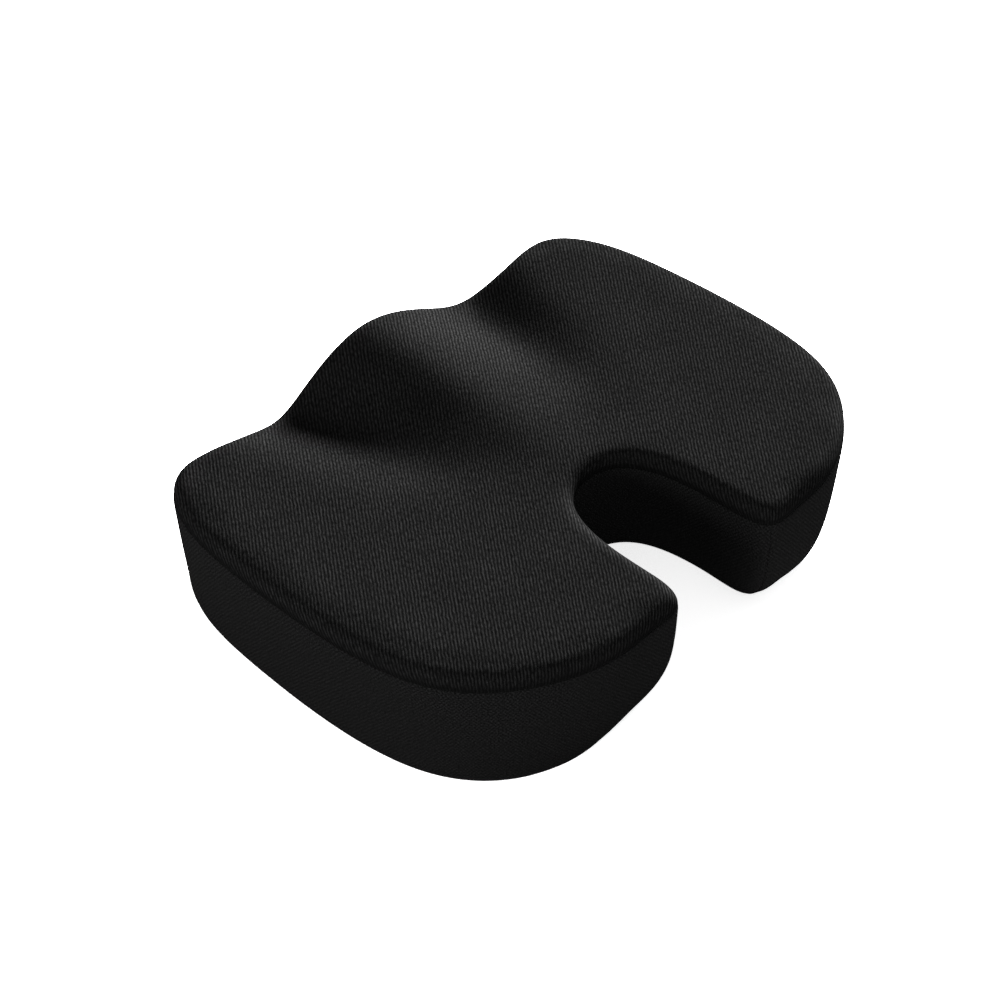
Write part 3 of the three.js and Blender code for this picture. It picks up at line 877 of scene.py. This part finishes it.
# ---- Zip ----
ZIP_FACE_Y = min(y for _, y in FOOT_OUTLINE) + CENTRE_SHIFT_Y
TAPE_Y = ZIP_FACE_Y + COVER_THICKNESS + GAP
COIL_Y = TAPE_Y - GAP - COIL_THICKNESS / 2
TAPE_HALF_LENGTH = 156
TAPE_STEPS = 80
TAPE_BEAD = 1.0  # width of the thicker edges
TAPE_BEAD_RISE = 0.15  # of the edge beside the coil
TAPE_RIM_RISE = 0.12  # of the outer edge
TAPE_BEAD_SLOPE = 0.2
COIL_PITCH = 2.0
COIL_WIRE = 0.3
COIL_REACH = 0.2  # how far the heads pass the coil's CAD solid towards the middle
COIL_SIDES = 6
COIL_START = {1: 0.25, -1: 0.75}  # of a turn: the two coils run half a turn apart
LOOP_STEPS = 12


def add_tape(name, side):
    inner = COIL_CLEARANCE / 2
    outer = inner + TAPE_WIDTH
    profile = [
        (0, inner),
        (-TAPE_BEAD_RISE, inner + TAPE_BEAD_SLOPE),
        (-TAPE_BEAD_RISE, inner + TAPE_BEAD - TAPE_BEAD_SLOPE),
        (0, inner + TAPE_BEAD),
        (0, outer - TAPE_BEAD),
        (-TAPE_RIM_RISE, outer - 0.6 * TAPE_BEAD),
        (0, outer),
        (TAPE_THICKNESS, outer),
        (TAPE_THICKNESS, inner),
    ]
    xs = np.linspace(-TAPE_HALF_LENGTH, TAPE_HALF_LENGTH, TAPE_STEPS)
    rings = [[(x, TAPE_Y + y, ZIP_HEIGHT + side * z) for y, z in profile[::side]] for x in xs]
    points, faces = ringed_solid(rings)
    tape = mesh_object("zip_tape_cloth_" + name, points, faces, smooth=False)
    return settle(tape, ["zip_tape_" + name], TAPE)


def tube(path, radius, sides):
    """Points and faces of a closed tube along a path."""
    path = np.asarray(path, float)
    along = np.gradient(path, axis=0)
    along /= np.linalg.norm(along, axis=1)[:, None]
    first = np.cross(along, (1.0, 0.0, 0.0))
    first /= np.linalg.norm(first, axis=1)[:, None]
    second = np.cross(along, first)
    turns = np.arange(sides) / sides * 2 * math.pi
    rings = [p + radius * (np.cos(turns)[:, None] * a + np.sin(turns)[:, None] * b)
             for p, a, b in zip(path, first, second)]
    return ringed_solid([[tuple(q) for q in ring] for ring in rings])


def add_coil(name, side):
    low = COIL_CLEARANCE / 2 - COIL_REACH + COIL_WIRE
    high = COIL_CLEARANCE / 2 + COIL_WIDTH - COIL_WIRE
    loops = 2 * COIL_HALF_LENGTH / COIL_PITCH
    turn = np.linspace(0, loops, int(loops * LOOP_STEPS)) + COIL_START[side]
    x = np.linspace(-COIL_HALF_LENGTH, COIL_HALF_LENGTH, len(turn))
    y = COIL_Y + (COIL_THICKNESS / 2 - COIL_WIRE) * np.sin(2 * math.pi * turn)
    z = ZIP_HEIGHT + side * ((low + high) / 2 + (high - low) / 2 * np.cos(2 * math.pi * turn))
    wire = mesh_object("zip_coil_wire_" + name, *tube(np.column_stack([x, y, z]), COIL_WIRE, COIL_SIDES))
    return settle(wire, ["zip_coil_" + name], COIL)


for half, side in (("upper", 1), ("lower", -1)):
    add_tape(half, side)
    add_coil(half, side)
for stop in ("zip_stop_left", "zip_stop_right"):
    paint(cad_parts[stop], METAL)


def rounded(corners, radius, steps=5):
    """A closed outline with its corners rounded; radius may be one number or one for each corner."""
    corners = np.asarray(corners, float)
    radii = np.broadcast_to(radius, len(corners))
    points = []
    for i, (corner, r) in enumerate(zip(corners, radii)):
        back = corners[i - 1] - corner
        ahead = corners[(i + 1) % len(corners)] - corner
        back /= np.linalg.norm(back)
        ahead /= np.linalg.norm(ahead)
        half = math.acos(np.clip(back @ ahead, -1, 1)) / 2
        reach = r / math.tan(half)
        for share in np.linspace(0, 1, steps):
            start, end = corner + back * reach, corner + ahead * reach
            points.append((1 - share) ** 2 * start + 2 * share * (1 - share) * corner + share ** 2 * end)
    return points


def circle(centre, radius, steps=24):
    turns = [k / steps * 2 * math.pi for k in range(steps)]
    return [(centre[0] + radius * math.cos(a), centre[1] + radius * math.sin(a)) for a in turns]


BEVEL_STEPS = 2
WELD_DISTANCE = 1e-4
SHARP_ANGLE = 40  # degrees between faces that stay a hard edge


def plate(loops, thickness, bevel, to_frame):
    """Mesh of a bevelled flat plate from its outline and holes; to_frame places its (u, v, w) points."""
    curve = bpy.data.curves.new("plate", "CURVE")
    curve.dimensions = "2D"
    curve.fill_mode = "BOTH"
    curve.extrude = thickness / 2 - bevel
    curve.bevel_depth = bevel
    curve.bevel_resolution = BEVEL_STEPS
    curve.offset = -bevel
    for loop in loops:
        spline = curve.splines.new("POLY")
        spline.points.add(len(loop) - 1)
        for point, (u, v) in zip(spline.points, loop):
            point.co = (u, v, 0, 1)
        spline.use_cyclic_u = True
    obj = bpy.data.objects.new("plate", curve)
    bpy.context.scene.collection.objects.link(obj)
    mesh = evaluated_mesh(obj)
    bpy.data.objects.remove(obj)
    bm = bmesh.new()
    bm.from_mesh(mesh)
    bmesh.ops.remove_doubles(bm, verts=bm.verts[:], dist=WELD_DISTANCE)
    for vert in bm.verts:
        vert.co = Vector(to_frame(*vert.co)) * MM
    bmesh.ops.recalc_face_normals(bm, faces=bm.faces[:])
    bm.to_mesh(mesh)
    bm.free()
    return mesh


def combined(name, meshes):
    """One object made of several meshes."""
    bm = bmesh.new()
    for mesh in meshes:
        bm.from_mesh(mesh)
    result = bpy.data.meshes.new(name)
    bm.to_mesh(result)
    bm.free()
    result.shade_smooth()
    result.set_sharp_from_angle(angle=math.radians(SHARP_ANGLE))
    obj = bpy.data.objects.new(name, result)
    bpy.context.scene.collection.objects.link(obj)
    return obj


PLATE_INNER_Y = COIL_Y - COIL_THICKNESS / 2 - GAP
PLATE_OUTER_Y = PLATE_INNER_Y - SLIDER_PLATE
PIN_RADIUS = 0.6
PIN_Y = PLATE_OUTER_Y - GAP - PIN_RADIUS
CROWN_INNER_Y = PIN_Y - PIN_RADIUS - GAP
BACK_PLATE_Y = TAPE_Y + TAPE_THICKNESS + GAP
BACK_PLATE = 0.6
FLANGE_DEPTH = 1.5
FLANGE_THICKNESS = 0.75
CROWN_WIDTH = 1.2
CROWN_BAR = 1.0
RAISED_STEP = 0.3  # how far the raised frame on the pull stands out, on both faces together


def flat_at(y_centre, x_centre=SLIDER_REST_X):
    """Places a plate upright in the plane of the zip, with its thickness along Y."""
    return lambda u, v, w: (x_centre + u, y_centre - w, ZIP_HEIGHT + v)


def lying_at(z_centre, x_centre=SLIDER_REST_X):
    """Places a plate level, with its thickness along Z."""
    return lambda u, v, w: (x_centre + u, v, z_centre + w)


def add_slider():
    """Shield, smaller back plate, side flanges, the wedge between the plates, and the pull's bridge."""
    length, wide = SLIDER_LENGTH / 2, SLIDER_WIDTH / 2
    narrow = wide - 0.7
    corners = [(-length, -narrow), (length, -wide), (length, wide), (-length, narrow)]
    shield = rounded(corners, (1.2, 1.6, 1.6, 1.2))
    back = rounded([(-length, -2.6), (length, -3), (length, 3), (-length, 2.6)], 1.0)
    meshes = [
        plate([shield], SLIDER_PLATE, 0.3, flat_at(PLATE_INNER_Y - SLIDER_PLATE / 2)),
        plate([back], BACK_PLATE, 0.15, flat_at(BACK_PLATE_Y + BACK_PLATE / 2)),
    ]
    for side in (1, -1):
        strip = [
            (-length + 1.2, side * (narrow - FLANGE_THICKNESS)),
            (length - 1.6, side * (wide - FLANGE_THICKNESS)),
            (length - 1.6, side * wide),
            (-length + 1.2, side * (narrow + 0.08)),
        ]
        place = flat_at(PLATE_INNER_Y - 0.3 + FLANGE_DEPTH / 2)
        meshes.append(plate([rounded(strip[::side], 0.25)], FLANGE_DEPTH, 0.15, place))
    wedge = rounded([(-2, -0.3), (2, -0.3), (2, 0.3), (-2, 0.3)], 0.15)
    wedge_depth = BACK_PLATE_Y - PLATE_INNER_Y + 0.4
    meshes.append(plate([wedge], wedge_depth, 0.05, flat_at((BACK_PLATE_Y + PLATE_INNER_Y) / 2)))
    foot, bar, top = PLATE_OUTER_Y + 0.2, CROWN_INNER_Y, CROWN_INNER_Y - CROWN_BAR
    crown = [
        (-3.6, foot), (-3.6, top), (3.6, top), (3.6, foot),
        (2.8, foot), (2.8, bar), (-2.8, bar), (-2.8, foot),
    ]
    arch = rounded(crown[::-1], (0.1, 0.6, 0.6, 0.1, 0.1, 1.3, 1.3, 0.1))
    meshes.append(plate([arch], CROWN_WIDTH, 0.2, lying_at(ZIP_HEIGHT)))
    return settle(combined("slider_body", meshes), ["zip_slider"], METAL, body="slider")


def add_pull():
    """A flat tab with a window for the bridge, a round hole at its end and a raised frame between them."""
    half = PULL_WIDTH / 2
    corners = [(-PULL_LENGTH, -half), (0.55, -half), (0.55, half), (-PULL_LENGTH, half)]
    tab = rounded(corners, (2.6, 0.5, 0.5, 2.6))
    window = rounded([(-4.4, -1.6), (-4.4, 1.6), (-0.55, 1.6), (-0.55, -1.6)], (1.0, 1.0, 0.3, 0.3))
    hole = circle((-PULL_LENGTH + 3.6, 0), 1.6)
    raised = rounded([(-15.6, -2.1), (-5.6, -2.1), (-5.6, 2.1), (-15.6, 2.1)], 0.9)
    inner = rounded([(-15.1, -1.6), (-6.1, -1.6), (-6.1, 1.6), (-15.1, 1.6)], 0.6)
    meshes = [
        plate([tab, window, hole], PULL_THICKNESS, 0.22, flat_at(PIN_Y)),
        plate([raised, inner], PULL_THICKNESS + RAISED_STEP, 0.12, flat_at(PIN_Y)),
    ]
    return settle(combined("pull_tab", meshes), ["zip_pull"], METAL, body="pull")


add_slider()
add_pull()

# Topstitching on the folded edges of the front bands.
STITCH_LENGTH = 2.8
STITCH_GAP = 0.9
STITCH_RADIUS = 0.28
STITCH_SIDES = 6
STITCH_LIFT = 0.05  # off the fabric
STITCH_REACH = 1  # either way along the seam, to find the fabric's direction
PROBE_DISTANCE = 30  # in front of the zip, where the search for the fabric starts
STITCH_OFFSET = 2.4  # from the folded edge
STITCH_HALF_LENGTH = 150
STITCH_PROFILE = (  # place along half the stitch, share of the radius
    (-1.0, 0.25), (-0.8, 0.85), (0.0, 1.0), (0.8, 0.85), (1.0, 0.25),
)


def stitch_shape():
    turns = [k / STITCH_SIDES * 2 * math.pi for k in range(STITCH_SIDES)]
    rings = []
    for along, share in STITCH_PROFILE:
        x = along * STITCH_LENGTH / 2
        radius = STITCH_RADIUS * share
        rings.append([(x, radius * math.cos(a), radius * math.sin(a)) for a in turns])
    return ringed_solid(rings)


def stitch_frames(obj, height):
    """Places for stitches along a band's outer face at one height, each turned to the fabric."""
    surface = surface_of(obj)
    pitch = STITCH_LENGTH + STITCH_GAP
    frames = []
    for x in np.arange(-STITCH_HALF_LENGTH, STITCH_HALF_LENGTH, pitch) + STITCH_LENGTH / 2:
        ends = []
        for end in (x - STITCH_REACH, x + STITCH_REACH):
            start = Vector((end * MM, (ZIP_FACE_Y - PROBE_DISTANCE) * MM, height * MM))
            hit, normal = surface.ray_cast(start, Vector((0, 1, 0)))[:2]
            ends.append(np.array(hit) / MM)
        along = (ends[1] - ends[0]) / np.linalg.norm(ends[1] - ends[0])
        out = np.array(normal) - along * (np.array(normal) @ along)
        out /= np.linalg.norm(out)
        frames.append(((ends[0] + ends[1]) / 2 + out * STITCH_LIFT, along, out, np.cross(along, out)))
    return frames


stitch_points, stitch_faces = stitch_shape()
for half, side in (("upper", 1), ("lower", -1)):
    height = ZIP_HEIGHT + side * (ZIP_OPENING / 2 + STITCH_OFFSET)
    places = stitch_frames(cover["cover_front_" + half], height)
    add_repeated("zip_stitching_" + half, stitch_points, stitch_faces, places, THREAD)

# Care label: a blank tab that stands up from the foot seam against the right side.
LABEL_STEPS = (12, 14)
LABEL_FABRIC = 0.5
LABEL_FOOT = 1  # above the start of the rounded foot edge
LABEL_LIFT = 0.25  # off the cover at the label's foot
LABEL_CURL = 1.1  # further off at its free edge
INWARD_PROBE = 5.0  # how far inside the wall its direction is taken


def add_label():
    surface = surface_of(cover["cover_side_right"])
    across, up = LABEL_STEPS
    heights = FOOT_EDGE_RADIUS + LABEL_FOOT + np.arange(up + 1) / up * (LABEL_DROP - LABEL_FOOT)
    points = []
    for row, z in enumerate(heights):
        for t in np.linspace(*LABEL_SPAN, across + 1):
            seam = seam_height(np.array([t]))[0]
            fall = (seam - z) / (seam - FOOT_EDGE_RADIUS)
            wall, inside = outline([t], fall, 0.0)[0], outline([t], fall, INWARD_PROBE)[0]
            outward = np.append(wall - inside, 0.0) / np.linalg.norm(wall - inside)
            hit = surface.find_nearest(Vector((*(wall * MM), z * MM)))[0]
            lift = LABEL_LIFT + LABEL_CURL * (row / up) ** 2
            points.append(np.array(hit) / MM + outward * lift)
    faces = []
    for row in range(up):
        for k in range(across):
            a = row * (across + 1) + k
            faces.append((a, a + 1, a + across + 2, a + across + 1))
    obj = mesh_object("label_tab", points, faces)
    thicken(obj, LABEL_FABRIC, 1, offset=1)
    settle(obj, ["care_label"], LABEL)


add_label()

# ---- Stage, camera and lights ----
TARGET = Vector((0, -4.1 * MM, 0.045))
CAMERA_AZIMUTH = 47.2
CAMERA_ELEVATION = 43.7
CAMERA_DISTANCE = 1.258
FOCAL_SHARE = 1.731  # focal length as a share of the frame's width
SENSOR_WIDTH = 36
CAMERA_SHIFT = (-0.0277, -0.0012)
FLOOR_HALF = 30.0
FLOOR_DROP = 0.0005
FLOOR_GLOW = 0.75  # a lit white sweep, which leaves hardly any shadow
WORLD_STRENGTH = 0.5
# Name, azimuth and elevation in degrees, distance and size in metres, power in watts.
LIGHTS = (
    ("key", -108, 11.5, 7.0, 1.4, 9800),
    ("side", 90, 12, 2.2, 0.9, 80),
    ("rear", 40, 12, 2.2, 0.9, 8),
)


def direction(azimuth, elevation):
    """Unit vector towards an azimuth, in degrees from the rear (+Y) towards +X, and an elevation."""
    a, e = math.radians(azimuth), math.radians(elevation)
    return Vector((math.sin(a) * math.cos(e), math.cos(a) * math.cos(e), math.sin(e)))


def add_camera():
    data = bpy.data.cameras.new("camera")
    data.sensor_width = SENSOR_WIDTH
    data.lens = FOCAL_SHARE * SENSOR_WIDTH
    data.shift_x, data.shift_y = CAMERA_SHIFT
    camera = bpy.data.objects.new("camera", data)
    back = direction(CAMERA_AZIMUTH, CAMERA_ELEVATION)
    camera.location = TARGET + back * CAMERA_DISTANCE
    camera.rotation_euler = back.to_track_quat("Z", "Y").to_euler()
    bpy.context.scene.collection.objects.link(camera)
    bpy.context.scene.camera = camera


def add_light(name, azimuth, elevation, distance, size, power):
    data = bpy.data.lights.new(name, "AREA")
    data.shape = "SQUARE"
    data.size = size
    data.energy = power
    light = bpy.data.objects.new(name, data)
    back = direction(azimuth, elevation)
    light.location = TARGET + back * distance
    light.rotation_euler = back.to_track_quat("Z", "Y").to_euler()
    bpy.context.scene.collection.objects.link(light)


def add_floor():
    n = Nodes("floor")
    cloud = n.noise(n.add("TexCoord").outputs["Object"], scale=2.0)
    n.colour(cloud, dark=grey(0.89), light=grey(0.91))
    white = (1, 1, 1, 1)
    n.finish(Roughness=0.9, Specular_IOR_Level=0.0, Emission_Color=white, Emission_Strength=FLOOR_GLOW)
    signs = ((-1, -1), (1, -1), (1, 1), (-1, 1))
    corners = [(x * FLOOR_HALF, y * FLOOR_HALF, -FLOOR_DROP) for x, y in signs]
    floor = mesh_object("floor", np.array(corners) / MM, [(0, 1, 2, 3)], smooth=False)
    floor.data.materials.append(n.material)


def add_world(strength):
    world = bpy.data.worlds.new("world")
    world.use_nodes = True
    background = world.node_tree.nodes["Background"]
    background.inputs["Color"].default_value = (1, 1, 1, 1)
    background.inputs["Strength"].default_value = strength
    bpy.context.scene.world = world


add_camera()
add_floor()
add_world(WORLD_STRENGTH)
for light in LIGHTS:
    add_light(*light)
bpy.context.scene.view_settings.view_transform = "Standard"
